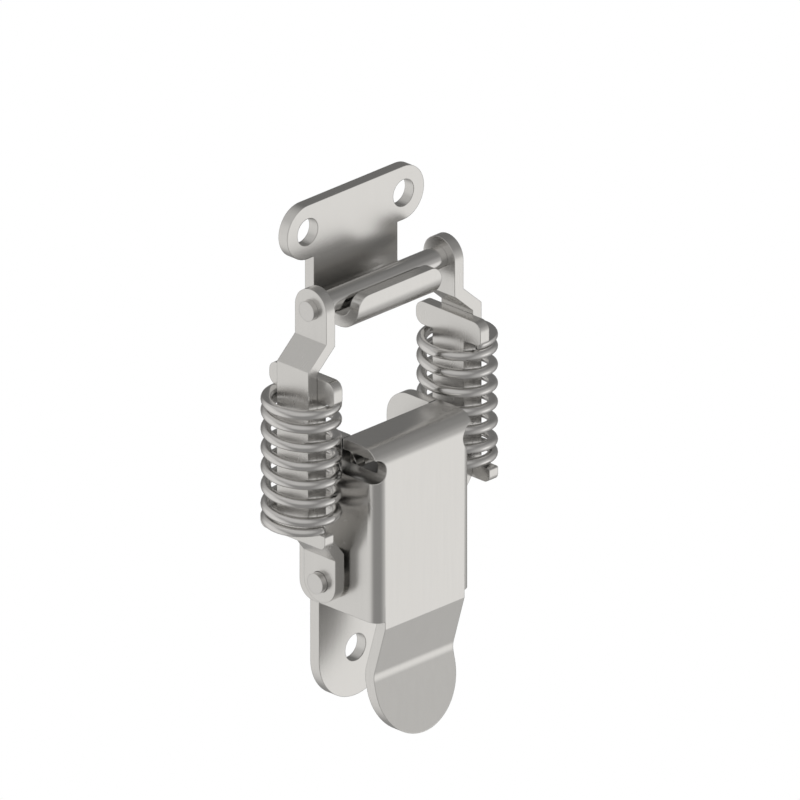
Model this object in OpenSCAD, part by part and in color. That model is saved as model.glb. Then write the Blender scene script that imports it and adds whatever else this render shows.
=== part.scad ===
// Over centre toggle latch, closed.
// The base and keeper lie on the plane y = 0, and the front is towards -Y.
// The origin is the centre of the base's lower hole, on its back face.

/* [Sheet] */
// Thickness of the base, keeper and lever sheets
sheet_t = 2; // [1.8:0.1:2.1]
// Thickness of the link strips
link_t = 2; // [1.8:0.1:2]

/* [Base] */
// Width of the base plate
base_w = 16.8; // [15.8:0.2:17]
// Height of the base plate's top edge
base_top_z = 36; // [34:0.1:36.4]
// Diameter of the fixing holes in the base
base_hole_d = 4.7; // [3.4:0.1:5.4]
// Height of the upper fixing hole
base_upper_hole_z = 22; // [20:0.5:23]

/* [Keeper] */
// Distance between the keeper's two fixing holes
keeper_spacing = 22; // [20:0.5:22.4]
// Diameter of the keeper's fixing holes
keeper_hole_d = 4.7; // [3.4:0.1:5.4]
// Height of the keeper's fixing holes
keeper_hole_z = 76.7; // [76.4:0.1:80]
// Radius of the lobe round each fixing hole
keeper_lobe_r = 4.7; // [4.4:0.1:4.7]
// Width of the neck and hook
neck_w = 19.2; // [16:0.2:19.6]
// Height of the hook lip's top edge
lip_top_z = 67.6; // [66.6:0.1:67.8]

/* [Lever] */
// Width of the lever over its flanges
lever_w = 22; // [21.4:0.1:22]
// Distance of the lever's front panel from the mounting plane
lever_front = 17.7; // [17.2:0.1:19]
// Height of the lever's top edge
lever_top_z = 42.8; // [42.8:0.1:44]
// Height of the lower end of the flanges
flange_low_z = 12.1; // [11.4:0.1:12.4]
// Width of the finger tab
tab_w = 18.2; // [14:0.2:19]
// Height of the finger tab's lower tip
tab_tip_z = -10; // [-14:0.5:-8]

/* [Draw bar] */
// Width of the link strips
link_w = 7.1; // [6.2:0.1:7.2]
// Width of the links' cross pieces that hold the springs
foot_w = 14.6; // [13.2:0.1:14.6]
// Diameter of the cross pin
cross_pin_d = 3.9; // [3:0.1:4]
// Diameter of the link rivets' shanks
rivet_d = 3.5; // [2.8:0.1:3.6]

/* [Springs] */
// Outer diameter of the coils
coil_d = 13.2; // [12.4:0.1:13.2]
// Diameter of the spring wire
wire_d = 1.7; // [1.2:0.1:1.7]
// Rise of the coil in one open turn
coil_pitch = 3.3; // [3.2:0.02:3.5]

/* [Hidden] */
$fn = 48;
steel = [0.72, 0.72, 0.71];
pin_steel = [0.6, 0.6, 0.6];
spring_steel = [0.78, 0.78, 0.77];

// Half widths
base_hw = base_w / 2;
neck_hw = neck_w / 2;
lever_hw = lever_w / 2;
tab_hw = tab_w / 2;

// Draw bar line, its rivet and the cross pin
bar_y = -7.35;
rivet_z = 17.5;
cross_z = 66.2;

// Lever pivot
pivot_y = -7.9;
pivot_z = 37;
pivot_r = 1.5;

// Planes across the draw bar, from the lever outwards
spring_x = 17.9;
play = 0.05;
lower_in = spring_x - play - link_t;
upper_in = spring_x;
pivot_plate_in = 11.7;
eye_in = 13.75;
spring_low_z = 29.6;
spring_high_z = 51.8;

// Sheet folds
bend_r = 0.2;
e = 0.01;

// Box between two corners
module box(lo, hi) {
    translate(lo)
        cube(hi - lo);
}

// Cylinder along X between two distances
module rod_x(r, x0, x1, y, z) {
    translate([x0, y, z])
        rotate([0, 90, 0])
            cylinder(r = r, h = x1 - x0);
}

// Cylinder along Y between two distances
module rod_y(r, x, y0, y1, z) {
    translate([x, y1, z])
        rotate([90, 0, 0])
            cylinder(r = r, h = y1 - y0);
}

// Flat outline in the YZ plane, given thickness along X
module side(x0, x1) {
    translate([x0, 0, 0])
        rotate([90, 0, 90])
            linear_extrude(height = x1 - x0)
                children();
}

// Flat outline in the XZ plane, given thickness along Y
module front(y0, y1) {
    translate([0, y1, 0])
        rotate([90, 0, 0])
            linear_extrude(height = y1 - y0)
                children();
}

// Rectangle with a radius at each corner, from the low left one round to the upper left
module round_rect(lo, hi, r) {
    corners = [[lo.x, lo.y], [hi.x, lo.y], [hi.x, hi.y], [lo.x, hi.y]];
    inward = [[1, 1], [-1, 1], [-1, -1], [1, -1]];
    difference() {
        translate(lo)
            square(hi - lo);
        for (k = [0:3])
            if (r[k] > 0)
                translate(corners[k] + inward[k] * (r[k] - e) / 2)
                    square(r[k] + e, center = true);
    }
    for (k = [0:3])
        if (r[k] > 0)
            translate(corners[k] + inward[k] * r[k])
                circle(r = r[k]);
}

// Base: plate with a round lower end and two cheeks bent forward round the pivot
module base_plate() {
    fold_r = sheet_t + bend_r;
    ear_r = 2.6;
    foot = [-1, 27];
    reach = norm([pivot_y, pivot_z] - foot);
    aim = atan2(pivot_z - foot.y, pivot_y - foot.x) + asin(ear_r / reach);
    run = sqrt(reach * reach - ear_r * ear_r);
    head = [-1, base_top_z];
    drop = norm([pivot_y, pivot_z] - head);
    slope = atan2(pivot_z - head.y, pivot_y - head.x) - asin(ear_r / drop);
    crest = head + sqrt(drop * drop - ear_r * ear_r) * [cos(slope), sin(slope)];
    color(steel)
    difference() {
        union() {
            front(-sheet_t, 0) {
                round_rect([-base_hw, 0], [base_hw, base_top_z], [0, 0, 1, 1]);
                circle(r = base_hw);
            }
            for (x = [-base_hw, base_hw - sheet_t])
                side(x, x + sheet_t) {
                    polygon([foot, head, crest, [pivot_y, pivot_z],
                        foot + run * [cos(aim), sin(aim)]]);
                    translate([pivot_y, pivot_z])
                        circle(r = ear_r);
                }
        }
        for (z = [0, base_upper_hole_z])
            rod_y(base_hole_d / 2, 0, -sheet_t - 1, 1, z);
        rod_x(pivot_r, -base_hw - 1, base_hw + 1, pivot_y, pivot_z);
        for (s = [-1, 1])
            difference() {
                translate([s * base_hw, 0, 27 + (base_top_z - 27) / 2])
                    cube([2 * fold_r, 2 * fold_r, base_top_z - 27 + 1], center = true);
                translate([s * (base_hw - fold_r), -fold_r, 26])
                    cylinder(r = fold_r, h = base_top_z - 24);
            }
    }
}

// Keeper: head with two fixing holes, and a neck that ends in an open hook
module keeper_plate() {
    head_low_z = keeper_hole_z - 4.7;
    channel_z = 63.5;
    channel_front = -10.1;
    lip_front = channel_front - sheet_t;
    inner_r = 2.2;
    outer_r = inner_r + sheet_t;
    lip_r = 2.5;
    color(steel)
    difference() {
        union() {
            front(-sheet_t, 0) {
                translate([-keeper_spacing / 2, head_low_z])
                    square([keeper_spacing, keeper_lobe_r * 2]);
                for (s = [-1, 1])
                    translate([s * keeper_spacing / 2, keeper_hole_z])
                        circle(r = keeper_lobe_r);
            }
            side(-neck_hw, neck_hw)
                difference() {
                    round_rect([lip_front, channel_z - sheet_t], [0, head_low_z + 1],
                        [outer_r, outer_r, 0, 0]);
                    round_rect([channel_front, channel_z], [-sheet_t, head_low_z + 3],
                        [inner_r, inner_r, 0, 0]);
                    translate([lip_front - 1, lip_top_z])
                        square([1 - sheet_t - lip_front, 20]);
                }
        }
        for (s = [-1, 1]) {
            rod_y(keeper_hole_d / 2, s * keeper_spacing / 2, -sheet_t - 1, 1, keeper_hole_z);
            difference() {
                translate([s * neck_hw, channel_front - 1, lip_top_z])
                    cube([2 * lip_r, sheet_t + 1.9, 2 * lip_r], center = true);
                rod_y(lip_r, s * (neck_hw - lip_r), lip_front - 2, channel_front + 2, lip_top_z - lip_r);
            }
        }
    }
}

// Lever: channel with a folded top edge, ears behind it and a bent finger tab
module lever() {
    fold_r = sheet_t + bend_r;
    back_y = -0.15;
    ear_front = -9.7;
    crease = [-lever_front, 10.8];
    waist = [-lever_front + 2.7, 1.5];
    tip_y = -lever_front + 0.05;
    top_r = 3.2;
    relief_r = 2.2;
    relief_z = lever_top_z - 4;
    under_z = lever_top_z - sheet_t;
    color(steel)
    difference() {
        union() {
            intersection() {
                translate([0, 0, flange_low_z])
                    linear_extrude(height = lever_top_z - flange_low_z)
                        difference() {
                            round_rect([-lever_hw, -lever_front], [lever_hw, 0],
                                [fold_r, fold_r, 0, 0]);
                            translate([-lever_hw + sheet_t, -lever_front + sheet_t])
                                square([2 * (lever_hw - sheet_t), lever_front]);
                        }
                side(-lever_hw, lever_hw) {
                    translate([-lever_front, flange_low_z])
                        square([ear_front + lever_front, lever_top_z - top_r - flange_low_z]);
                    round_rect([ear_front, flange_low_z], [back_y, lever_top_z - 0.05],
                        [0, 3, 4.9, 0]);
                }
            }
            side(-lever_hw, lever_hw)
                difference() {
                    round_rect([-lever_front, lever_top_z - top_r - 0.5], [-10, lever_top_z],
                        [0, 0, 0, top_r]);
                    round_rect([-lever_front + sheet_t, relief_z - 1], [0, under_z],
                        [0, 0, 0, top_r - sheet_t]);
                }
            intersection() {
                side(-tab_hw, tab_hw)
                    tab_profile(crease, waist, tip_y);
                front(-lever_front - 1, 0) {
                    translate([-tab_hw, tab_tip_z + tab_hw])
                        square([2 * tab_hw, 40]);
                    translate([0, tab_tip_z + tab_hw])
                        circle(r = tab_hw);
                }
            }
        }
        for (s = [-1, 1]) {
            rod_y(relief_r, s * lever_hw, -lever_front - 1, ear_front, relief_z);
            rod_x(pivot_r + play, s * lever_hw - 3, s * lever_hw + 3, pivot_y, pivot_z);
            rod_x(rivet_d / 2, s * lever_hw - 3, s * lever_hw + 3, bar_y, rivet_z);
            translate([s * (lever_hw - sheet_t / 2), 0, 0])
                box([-sheet_t / 2 - (s < 0 ? e : 0), -lever_front + sheet_t, relief_z],
                    [sheet_t / 2 + (s > 0 ? e : 0), ear_front, under_z]);
        }
    }
}

// Side view of the finger tab: straight, slanted back, then flared forward
module tab_profile(crease, waist, tip_y) {
    a1 = atan2(waist.x - crease.x, crease.y - waist.y);
    a2 = atan2(waist.x - tip_y, waist.y - tab_tip_z);
    waist_r = 3.5;
    turn = (a1 + a2) / 2;
    lean = (a1 - a2) / 2;
    centre = waist - waist_r / cos(turn) * [cos(lean), sin(lean)];
    tip = waist + (norm(waist - [tip_y, tab_tip_z]) + 1) * [-sin(a2), -cos(a2)];
    function bend(r, from, to) = [for (k = [0:12])
        let (a = from + (to - from) * k / 12)
        centre + r * [cos(a), sin(a)]];
    polygon(concat([crease + [0, 4], crease], bend(waist_r, a1, -a2), [tip],
        [tip + sheet_t * [cos(a2), -sin(a2)]], bend(waist_r + sheet_t, -a2, a1),
        [crease + sheet_t * [1, tan(a1 / 2)], crease + [sheet_t, 4]]));
}

// Pin in the base's cheeks on which the lever turns
module lever_pivot_pin() {
    color(pin_steel)
        rod_x(pivot_r, -lever_hw, lever_hw, pivot_y, pivot_z);
}

// Rivet through one flange of the lever and one lower link
module link_rivet(s) {
    color(pin_steel)
    mirror([s < 0 ? 1 : 0, 0, 0]) {
        rod_x(rivet_d / 2, lever_hw - sheet_t - 0.5, pivot_plate_in + link_t + 1.1, bar_y, rivet_z);
        rod_x(2.8, lever_hw - sheet_t - 0.9, lever_hw - sheet_t, bar_y, rivet_z);
        rod_x(2.6, lever_hw, pivot_plate_in - play, bar_y, rivet_z);
    }
}

// Lower link: eye at the rivet, joggle, stem inside the spring and T head above it
module lower_link(s) {
    out = pivot_plate_in + link_t;
    far = lower_in + link_t;
    high = 27.7;
    low = 22.2;
    lift = link_t * tan(atan2(far - out, high - low) / 2);
    color(steel)
    mirror([s < 0 ? 1 : 0, 0, 0])
    difference() {
        intersection() {
            front(-20, 5)
                polygon([[far, 70], [far, high], [out, low], [out, 5], [pivot_plate_in, 5],
                    [pivot_plate_in, low + lift], [lower_in, high + lift], [lower_in, 70]]);
            side(pivot_plate_in - 1, far + 1) {
                translate([bar_y - link_w / 2, rivet_z])
                    square([link_w, spring_high_z + 1 - rivet_z]);
                translate([bar_y, rivet_z])
                    circle(r = link_w / 2);
                round_rect([bar_y - foot_w / 2, spring_high_z], [bar_y + foot_w / 2, spring_high_z + 4],
                    [0.8, 1.6, 1.6, 1.6]);
            }
        }
        rod_x(rivet_d / 2 + play, pivot_plate_in - 1, out + 1, bar_y, rivet_z);
    }
}

// Upper link: eye at the cross pin, joggle, stem inside the spring and T foot under it
module upper_link(s) {
    out = eye_in + link_t;
    far = upper_in + link_t;
    high = 61.1;
    low = 57.4;
    drop = link_t * tan(atan2(far - out, high - low) / 2);
    color(steel)
    mirror([s < 0 ? 1 : 0, 0, 0])
    difference() {
        intersection() {
            front(-20, 5)
                polygon([[out, 80], [out, high], [far, low], [far, 20], [upper_in, 20],
                    [upper_in, low - drop], [eye_in, high - drop], [eye_in, 80]]);
            side(eye_in - 1, far + 1) {
                translate([bar_y - link_w / 2, spring_low_z - 1])
                    square([link_w, cross_z - spring_low_z + 1]);
                translate([bar_y, cross_z])
                    circle(r = link_w / 2);
                round_rect([bar_y - foot_w / 2, spring_low_z - 2.45], [bar_y + foot_w / 2, spring_low_z],
                    [1.2, 1.2, 0.3, 0.3]);
            }
        }
        rod_x(1.7, eye_in - 1, out + 1, bar_y, cross_z);
    }
}

// Compression spring with closed and ground ends, wound left-handed
module spring(s, tip_angle) {
    wire_r = wire_d / 2;
    coil_r = (coil_d - wire_d) / 2;
    closed = wire_d + 0.05;
    bite = 0.25;
    rise = spring_high_z - spring_low_z - 2 * bite;
    active = (rise - 2 * closed) / coil_pitch;
    turns = active + 2;
    steps = ceil(turns * 28);
    sides = 12;
    function height(t) = t < 1 ? closed * t
        : t < 1 + active ? closed + coil_pitch * (t - 1)
        : closed + coil_pitch * active + closed * (t - 1 - active);
    function ring(i) = [for (j = [0:sides - 1])
        let (t = turns * i / steps, a = tip_angle - 360 * t, b = 360 * j / sides,
            r = coil_r + wire_r * cos(b))
        [r * cos(a), r * sin(a), height(t) + bite + wire_r * sin(b)]];
    points = [for (i = [0:steps]) each ring(i)];
    skin = [for (i = [0:steps - 1]) for (j = [0:sides - 1])
        let (a = i * sides + j, b = i * sides + (j + 1) % sides)
        [a, b, b + sides, a + sides]];
    ends = [[for (j = [sides - 1:-1:0]) j], [for (j = [0:sides - 1]) steps * sides + j]];
    color(spring_steel)
    translate([s * spring_x, bar_y, spring_low_z])
    intersection() {
        polyhedron(points = points, faces = concat(skin, ends), convexity = 12);
        translate([-20, -20, 0])
            cube([40, 40, spring_high_z - spring_low_z]);
    }
}

// Cross pin between the upper links, with reduced ends through their eyes
module cross_pin() {
    color(pin_steel) {
        rod_x(cross_pin_d / 2, -eye_in, eye_in, bar_y, cross_z);
        rod_x(1.7, -eye_in - link_t - 1, eye_in + link_t + 1, bar_y, cross_z);
    }
}

base_plate();
keeper_plate();
lever();
lever_pivot_pin();
link_rivet(-1);  // link_rivet_left
link_rivet(1);  // link_rivet_right
lower_link(-1);  // lower_link_left
lower_link(1);  // lower_link_right
upper_link(-1);  // upper_link_left
upper_link(1);  // upper_link_right
spring(-1, 262);  // spring_left
spring(1, 82);  // spring_right
cross_pin();
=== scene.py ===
"""Scene of an over centre toggle latch: steel finishes, wire springs, soft light and camera."""

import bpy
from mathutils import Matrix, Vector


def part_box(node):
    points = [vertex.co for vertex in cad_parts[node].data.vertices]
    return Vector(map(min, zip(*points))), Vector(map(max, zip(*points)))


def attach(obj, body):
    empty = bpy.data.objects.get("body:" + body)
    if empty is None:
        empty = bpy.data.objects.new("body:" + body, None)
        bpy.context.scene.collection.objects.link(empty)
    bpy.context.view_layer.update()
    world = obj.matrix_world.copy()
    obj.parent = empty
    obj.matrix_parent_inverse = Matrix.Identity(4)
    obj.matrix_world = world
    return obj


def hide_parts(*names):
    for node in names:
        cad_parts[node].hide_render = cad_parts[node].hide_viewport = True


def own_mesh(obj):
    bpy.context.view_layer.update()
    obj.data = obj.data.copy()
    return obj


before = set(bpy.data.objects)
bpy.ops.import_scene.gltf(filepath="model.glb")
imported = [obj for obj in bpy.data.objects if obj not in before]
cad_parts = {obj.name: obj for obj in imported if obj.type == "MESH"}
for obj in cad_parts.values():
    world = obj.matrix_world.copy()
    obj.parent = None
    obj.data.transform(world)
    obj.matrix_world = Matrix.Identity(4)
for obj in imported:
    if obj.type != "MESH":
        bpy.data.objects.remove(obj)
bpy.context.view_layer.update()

import math

import bmesh
import bpy
from bpy.props import FloatProperty, FloatVectorProperty, PointerProperty
from mathutils import Vector

bl_info = {
    "name": "Toggle latch scene",
    "version": (1, 0, 0),
    "blender": (4, 5, 0),
    "location": "View3D > Sidebar > Latch",
    "description": "Steel finishes, stage and camera for an over centre toggle latch",
    "category": "Object",
}

# Scales of the surface patterns, per metre
GRAIN_ACROSS = 300.0
GRAIN_ALONG = 12.0
GRAIN_SCALE = 6.0
MOTTLE_SCALE = 260.0
CLOUD_SCALE = 55.0
FINE_SCALE = 2600.0
SCUFF_SCALE = 420.0
SCUFF_STRETCH = (1.0, 1.0, 0.22)

# Shares of a steel's colour in its dark grain, on its worn edges and in the painted shade deep
# inside it
DARK_SHARE = 0.97
PALE_SHARE = 1.05
PAINTED_SHADE_SHARE = 0.12
EDGE_WEAR = 0.55

# Radius that the shading gives to edges
EDGE_RADIUS = 0.0002
# How far a wall can be and still enclose a surface and darken it with painted shade
PAINTED_SHADE_REACH = 0.015
# Depth and strength of the relief
RELIEF_DEPTH = 0.00005
RELIEF_STRENGTH = 0.003
# Links are slightly duller than the sheets
LINK_DULLNESS = 1.05

# Height of the wire's centre above the lower ground end of a spring
END_BITE = 0.00025
# Gap between the wire of an end turn and the next turn
END_GAP = 0.00005
RINGS_PER_TURN = 48
WIRE_SIDES = 20
# Angle in degrees at which the wire starts, at each spring's lower end
SPRING_TIPS = (("spring_left", 262.0), ("spring_right", 82.0))

# Light from every side, then the soft patches: direction, start of the fade as a cosine, strength
BASE_SHADE = 0.28
PATCHES = (
    ((0.65, -0.6, -0.35), 0.55, 0.28),
    ((0.65, -0.64, -0.41), 0.925, 0.42),
    ((-0.65, 0.64, -0.41), 0.5, 0.49),
    ((0.65, 0.64, 0.41), 0.45, -0.1),
    ((-0.6, -0.5, 0.6), 0.5, 0.3),
    ((-0.33, 0.64, 0.69), 0.6, 0.28),
)
LIGHT_TINT = (1.0, 0.985, 0.965, 1.0)
WHITE = (1.0, 1.0, 1.0, 1.0)

# The camera looks at this point from this far away
AIM = (0.0, -0.00885, 0.0357)
CAMERA_DISTANCE = 0.6
CLIP_START = 0.01
CLIP_END = 10.0
# Side of the photo in pixels, and the pixel of the base's lower hole, which is the origin
PHOTO_SIDE = 800.0
HOLE_PIXEL = (346.8, 643.46)


class Sock:
    """A node socket or a number that takes part in arithmetic."""

    def __init__(self, tree, value):
        self.tree = tree
        self.value = value

    def put(self, socket, value):
        """Link or write a value to a socket."""
        if isinstance(value, Sock):
            value = value.value
        if isinstance(value, bpy.types.NodeSocket):
            self.tree.links.new(value, socket)
        else:
            socket.default_value = value

    def node(self, kind, output=0, settings=None, values=(), **inputs):
        """Any node: its settings, its sockets in order as values, or by name as inputs."""
        node = self.tree.nodes.new(kind)
        for name, value in (settings or {}).items():
            setattr(node, name, value)
        for socket, value in zip(node.inputs, values):
            self.put(socket, value)
        for name, value in inputs.items():
            self.put(node.inputs[name.replace("_", " ")], value)
        return Sock(self.tree, node.outputs[output])

    def math(self, operation, other):
        """One Math node on this value and another."""
        return self.node("ShaderNodeMath", 0, {"operation": operation}, (self, other))

    def vector(self, operation, other, output=0):
        """One Vector Math node on this vector and another."""
        settings = {"operation": operation}
        return self.node("ShaderNodeVectorMath", output, settings, (self, other))

    def blend(self, low, high):
        """Colour between low and high, with this value as the factor."""
        return self.node(
            "ShaderNodeMix", "Result", {"data_type": "RGBA"}, Factor=self, A=low, B=high,
        )

    def ramp(self, low, high):
        """0 below low, 1 above high and smooth between them."""
        settings = {"interpolation_type": "SMOOTHSTEP"}
        return self.node(
            "ShaderNodeMapRange", 0, settings, Value=self, From_Min=low, From_Max=high,
        )

    def __add__(self, other):
        return self.math("ADD", other)

    def __radd__(self, other):
        return self.math("ADD", other)

    def __mul__(self, other):
        return self.math("MULTIPLY", other)

    def __rmul__(self, other):
        return self.math("MULTIPLY", other)

    def __sub__(self, other):
        return self.math("SUBTRACT", other)

    def __rsub__(self, other):
        return Sock(self.tree, other).math("SUBTRACT", self)


def share_of(colour, share):
    """Opaque colour of a share of the given one."""
    return tuple(min(1.0, part * share) for part in colour) + (1.0,)


def metal(name, colour, rough, grain, grain_axis, waviness, painted_inside_shade=0.0):
    """Steel with faint rolling grain, rounded edges and, if asked for, painted shade darkening
    its insides.
    """
    material = bpy.data.materials.new(name)
    material.use_nodes = True
    shader = material.node_tree.nodes["Principled BSDF"]
    start = Sock(material.node_tree, 0.0)

    # Patterns: grain along one axis, two sizes of cloud, a fine noise and small scuffs
    place = start.node("ShaderNodeTexCoord", "Object")
    stretch = [GRAIN_ACROSS] * 3
    stretch[grain_axis] = GRAIN_ALONG
    along = place.vector("MULTIPLY", tuple(stretch))
    grain_tone = start.node("ShaderNodeTexNoise", Vector=along, Scale=GRAIN_SCALE, Detail=4.0)
    mottle = start.node("ShaderNodeTexNoise", Vector=place, Scale=MOTTLE_SCALE, Detail=5.0)
    cloud = start.node("ShaderNodeTexNoise", Vector=place, Scale=CLOUD_SCALE, Detail=3.0)
    fine = start.node("ShaderNodeTexNoise", Vector=place, Scale=FINE_SCALE, Detail=3.0)
    scuffs = start.node(
        "ShaderNodeTexVoronoi", 0, {"feature": "DISTANCE_TO_EDGE"},
        Vector=place.vector("MULTIPLY", SCUFF_STRETCH), Scale=SCUFF_SCALE,
    )
    scratch = (1.0 - scuffs.ramp(0.0, 0.02)) * mottle.ramp(0.52, 0.66)

    # Edges are where the rounded normal turns away from the flat one
    edge_normal = start.node("ShaderNodeBevel", 0, {"samples": 8}, Radius=EDGE_RADIUS)
    flat = start.node("ShaderNodeNewGeometry", "Normal")
    turned = 1.0 - edge_normal.vector("DOT_PRODUCT", flat, output=1)
    edge = turned.ramp(0.004, 0.12)

    tone = (grain_tone * 0.5 + mottle * 0.3 + cloud * 0.3).ramp(0.35, 0.78)
    body = tone.blend(share_of(colour, DARK_SHARE), share_of(colour, 1.0))
    body = (edge * EDGE_WEAR).blend(body, share_of(colour, PALE_SHARE))
    # Painted shade: where the piece's own walls enclose a surface, its base colour darkens,
    # standing in for the shade inside the hollow
    if painted_inside_shade > 0.0:
        open_air = start.node(
            "ShaderNodeAmbientOcclusion", 1, {"samples": 8, "only_local": True},
            Distance=PAINTED_SHADE_REACH,
        )
        painted_shade_mask = (1.0 - open_air).ramp(0.3, 0.8) * painted_inside_shade
        body = painted_shade_mask.blend(body, share_of(colour, PAINTED_SHADE_SHARE))
    roughness = rough + grain * (grain_tone - 0.5) + 0.02 * (mottle - 0.5) + scratch * 0.02
    height = grain_tone * 0.35 + fine * 0.12 + mottle * waviness - scratch * 0.03
    relief = start.node(
        "ShaderNodeBump", "Normal",
        Strength=RELIEF_STRENGTH, Distance=RELIEF_DEPTH, Height=height, Normal=edge_normal,
    )
    start.put(shader.inputs["Base Color"], body)
    start.put(shader.inputs["Roughness"], roughness)
    start.put(shader.inputs["Metallic"], 1.0)
    start.put(shader.inputs["Normal"], relief)
    return material


class LatchFinish(bpy.types.PropertyGroup):
    """Colours and polish of the steel pieces."""

    sheet_colour: FloatVectorProperty(
        name="Sheet colour", description="Colour of the sheet steel", subtype="COLOR",
        size=3, min=0.0, max=1.0, default=(0.76, 0.752, 0.735),
    )
    pin_colour: FloatVectorProperty(
        name="Pin colour", description="Colour of the pins and rivets", subtype="COLOR",
        size=3, min=0.0, max=1.0, default=(0.72, 0.712, 0.7),
    )
    spring_colour: FloatVectorProperty(
        name="Spring colour", description="Colour of the spring wire", subtype="COLOR",
        size=3, min=0.0, max=1.0, default=(0.78, 0.772, 0.76),
    )
    sheet_roughness: FloatProperty(
        name="Sheet roughness", description="Roughness of the sheet steel",
        min=0.02, max=1.0, default=0.25, subtype="FACTOR",
    )
    wire_roughness: FloatProperty(
        name="Wire roughness", description="Roughness of the pins and springs",
        min=0.02, max=1.0, default=0.14, subtype="FACTOR",
    )


class LatchSprings(bpy.types.PropertyGroup):
    """Sizes of the spring wire."""

    wire_diameter: FloatProperty(
        name="Wire diameter", description="Diameter of the spring wire", unit="LENGTH",
        min=0.0005, max=0.002, default=0.0017,
    )
    coil_pitch: FloatProperty(
        name="Coil pitch", description="Rise of the coil in one open turn", unit="LENGTH",
        min=0.003, max=0.004, default=0.0033,
    )


class LatchStage(bpy.types.PropertyGroup):
    """Camera and ground."""

    azimuth: FloatProperty(
        name="Azimuth", description="Turn of the camera round the latch", unit="ROTATION",
        default=math.radians(-45.4),
    )
    elevation: FloatProperty(
        name="Elevation", description="Height of the camera above the horizon", unit="ROTATION",
        default=math.radians(24.0),
    )
    frame_width: FloatProperty(
        name="Frame width", description="Width that the picture covers", unit="LENGTH",
        min=0.01, default=0.12903,
    )
    floor_tone: FloatProperty(
        name="Ground tone", description="Brightness of the plain ground as the camera sees it",
        min=0.0, max=1.0, default=1.0, subtype="FACTOR",
    )


def coat(names, material):
    """Give CAD nodes a material in place of their own."""
    for name in names:
        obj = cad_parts[name]
        obj.data.materials.clear()
        obj.data.materials.append(material)


class LATCH_OT_sheets(bpy.types.Operator):
    """Finish the base, keeper and lever"""

    bl_idname = "latch.sheets"
    bl_label = "Sheet pieces"

    def execute(self, context):
        look = context.scene.latch_finish
        steel = metal(
            "sheet_steel", look.sheet_colour, look.sheet_roughness,
            grain=0.015, grain_axis=2, waviness=0.4,
        )
        coat(["base_plate", "keeper_plate"], steel)
        # The lever's steel has painted shade darkening its insides
        steel = metal(
            "lever_steel", look.sheet_colour, look.sheet_roughness,
            grain=0.015, grain_axis=2, waviness=0.4, painted_inside_shade=0.8,
        )
        coat(["lever"], steel)
        return {"FINISHED"}


class LATCH_OT_links(bpy.types.Operator):
    """Finish the upper and lower links"""

    bl_idname = "latch.links"
    bl_label = "Links"

    def execute(self, context):
        look = context.scene.latch_finish
        steel = metal(
            "link_steel", look.sheet_colour, look.sheet_roughness * LINK_DULLNESS,
            grain=0.015, grain_axis=2, waviness=0.4,
        )
        coat(
            ["lower_link_left", "lower_link_right", "upper_link_left", "upper_link_right"],
            steel,
        )
        return {"FINISHED"}


class LATCH_OT_pins(bpy.types.Operator):
    """Finish the pins and rivets"""

    bl_idname = "latch.pins"
    bl_label = "Pins and rivets"

    def execute(self, context):
        look = context.scene.latch_finish
        steel = metal(
            "pin_steel", look.pin_colour, look.wire_roughness,
            grain=0.02, grain_axis=0, waviness=0.3,
        )
        coat(
            ["cross_pin", "lever_pivot_pin", "link_rivet_left", "link_rivet_right"],
            steel,
        )
        return {"FINISHED"}


def coil_mesh(name, low, high, tip_angle, size):
    """Left-handed wire coil with closed ends, ground flat at the heights of low and high."""
    wire = size.wire_diameter / 2
    radius = (high.y - low.y) / 2 - wire
    middle = (low + high) / 2
    rise = high.z - low.z - 2 * END_BITE
    closed = size.wire_diameter + END_GAP
    active = (rise - 2 * closed) / size.coil_pitch
    turns = active + 2
    rings = int(turns * RINGS_PER_TURN)
    mesh = bmesh.new()
    loops = []
    for k in range(rings + 1):
        t = turns * k / rings
        angle = math.radians(tip_angle - 360 * t)
        if t < 1:
            lift = closed * t
        elif t < 1 + active:
            lift = closed + size.coil_pitch * (t - 1)
        else:
            lift = closed + size.coil_pitch * active + closed * (t - 1 - active)
        loop = []
        for m in range(WIRE_SIDES):
            around = 2 * math.pi * m / WIRE_SIDES
            out = radius + wire * math.cos(around)
            loop.append(mesh.verts.new((
                middle.x + out * math.cos(angle),
                middle.y + out * math.sin(angle),
                low.z + END_BITE + lift + wire * math.sin(around),
            )))
        loops.append(loop)
    for first, second in zip(loops, loops[1:]):
        for m in range(WIRE_SIDES):
            n = (m + 1) % WIRE_SIDES
            mesh.faces.new((first[m], first[n], second[n], second[m]))
    mesh.faces.new(loops[0][::-1])
    mesh.faces.new(loops[-1])
    for face in mesh.faces:
        face.smooth = True
    grind(mesh, low.z, -1)
    grind(mesh, high.z, 1)
    bmesh.ops.recalc_face_normals(mesh, faces=mesh.faces[:])
    data = bpy.data.meshes.new(name)
    mesh.to_mesh(data)
    mesh.free()
    obj = bpy.data.objects.new(name, data)
    bpy.context.scene.collection.objects.link(obj)
    return obj


def grind(mesh, height, up):
    """Cut the coil flat at a height, on the side that up points to, and close the cut."""
    cut = bmesh.ops.bisect_plane(
        mesh, geom=mesh.verts[:] + mesh.edges[:] + mesh.faces[:],
        plane_co=(0, 0, height), plane_no=(0, 0, up), clear_outer=True,
    )
    edges = [item for item in cut["geom_cut"] if isinstance(item, bmesh.types.BMEdge)]
    filled = bmesh.ops.triangle_fill(mesh, edges=edges, use_beauty=True)
    for item in filled["geom"]:
        if isinstance(item, bmesh.types.BMFace):
            item.smooth = False
    for edge in edges:
        edge.smooth = False


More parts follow.
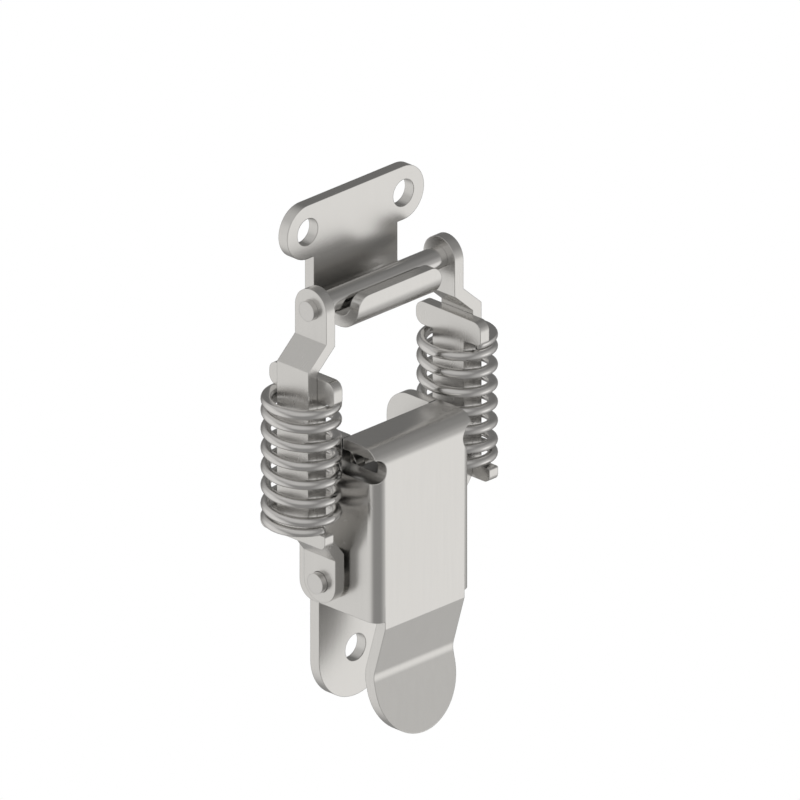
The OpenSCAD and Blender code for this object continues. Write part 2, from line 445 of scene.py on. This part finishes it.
class LATCH_OT_springs(bpy.types.Operator):
    """Wind the two springs in smooth wire in place of the CAD springs, attached to the draw bar
    """

    bl_idname = "latch.springs"
    bl_label = "Springs"

    def execute(self, context):
        look = context.scene.latch_finish
        size = context.scene.latch_springs
        wire = metal(
            "spring_wire", look.spring_colour, look.wire_roughness,
            grain=0.02, grain_axis=2, waviness=0.2,
        )
        for node, tip_angle in SPRING_TIPS:
            low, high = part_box(node)
            coil = coil_mesh(node + "_wire", low, high, tip_angle, size)
            coil.data.materials.append(wire)
            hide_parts(node)
            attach(coil, "draw_bar")
            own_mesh(coil)
        return {"FINISHED"}


def light_world(scene, ground_tone):
    """Light the latch from the world alone, which the camera sees as plain ground."""
    world = bpy.data.worlds.new("studio")
    scene.world = world
    world.use_nodes = True
    sky = world.node_tree.nodes["Background"]
    start = Sock(world.node_tree, 0.0)
    direction = start.node("ShaderNodeTexCoord", "Generated")
    shade = BASE_SHADE
    for aim, fade_start, power in PATCHES:
        along = direction.vector("DOT_PRODUCT", tuple(Vector(aim).normalized()), output=1)
        shade = along.ramp(fade_start, 1.0) * power + shade
    seen = start.node("ShaderNodeLightPath", "Is Camera Ray")
    start.put(sky.inputs["Strength"], shade * (1.0 - seen) + seen * ground_tone)
    start.put(sky.inputs["Color"], seen.blend(LIGHT_TINT, WHITE))


def place_camera(scene, look):
    """Set the camera so that the base's lower hole falls on its pixel of the photo."""
    back = Vector((
        math.sin(look.azimuth) * math.cos(look.elevation),
        -math.cos(look.azimuth) * math.cos(look.elevation),
        math.sin(look.elevation),
    ))
    camera = bpy.data.cameras.new("camera")
    camera.type = "ORTHO"
    camera.ortho_scale = look.frame_width
    camera.clip_start = CLIP_START
    camera.clip_end = CLIP_END
    eye = bpy.data.objects.new("camera", camera)
    scene.collection.objects.link(eye)
    eye.rotation_mode = "QUATERNION"
    turn = (-back).to_track_quat("-Z", "Y")
    eye.rotation_quaternion = turn
    eye.location = Vector(AIM) + back * CAMERA_DISTANCE

    # Shift the camera sideways by what the hole is off its pixel, as shares of the frame
    right = turn @ Vector((1, 0, 0))
    up = turn @ Vector((0, 1, 0))
    offset = -eye.location
    across = 0.5 + offset.dot(right) / look.frame_width - HOLE_PIXEL[0] / PHOTO_SIDE
    down = 0.5 - offset.dot(up) / look.frame_width - HOLE_PIXEL[1] / PHOTO_SIDE
    eye.location += right * (across * look.frame_width)
    eye.location -= up * (down * look.frame_width)
    scene.camera = eye


class LATCH_OT_stage(bpy.types.Operator):
    """Set the light, the plain ground and the camera"""

    bl_idname = "latch.stage"
    bl_label = "Stage"

    def execute(self, context):
        scene = context.scene
        look = scene.latch_stage
        scene.view_settings.view_transform = "Standard"
        light_world(scene, look.floor_tone)
        place_camera(scene, look)
        return {"FINISHED"}


class LATCH_PT_panel(bpy.types.Panel):
    """Lists the latch's operators and settings"""

    bl_idname = "LATCH_PT_panel"
    bl_label = "Toggle latch"
    bl_space_type = "VIEW_3D"
    bl_region_type = "UI"
    bl_category = "Latch"

    def draw(self, context):
        layout = self.layout
        scene = context.scene
        for group in (scene.latch_finish, scene.latch_springs, scene.latch_stage):
            for name in group.bl_rna.properties.keys():
                if name not in ("rna_type", "name"):
                    layout.prop(group, name)
        for step in STEPS:
            layout.operator(step.bl_idname)


STEPS = (LATCH_OT_sheets, LATCH_OT_links, LATCH_OT_pins, LATCH_OT_springs, LATCH_OT_stage)
CLASSES = (LatchFinish, LatchSprings, LatchStage, *STEPS, LATCH_PT_panel)


def register():
    for item in CLASSES:
        bpy.utils.register_class(item)
    bpy.types.Scene.latch_finish = PointerProperty(type=LatchFinish)
    bpy.types.Scene.latch_springs = PointerProperty(type=LatchSprings)
    bpy.types.Scene.latch_stage = PointerProperty(type=LatchStage)


def unregister():
    del bpy.types.Scene.latch_stage
    del bpy.types.Scene.latch_springs
    del bpy.types.Scene.latch_finish
    for item in reversed(CLASSES):
        bpy.utils.unregister_class(item)


def main():
    register()
    for step in STEPS:
        group, name = step.bl_idname.split(".")
        getattr(getattr(bpy.ops, group), name)()


if __name__ == "__main__":
    main()
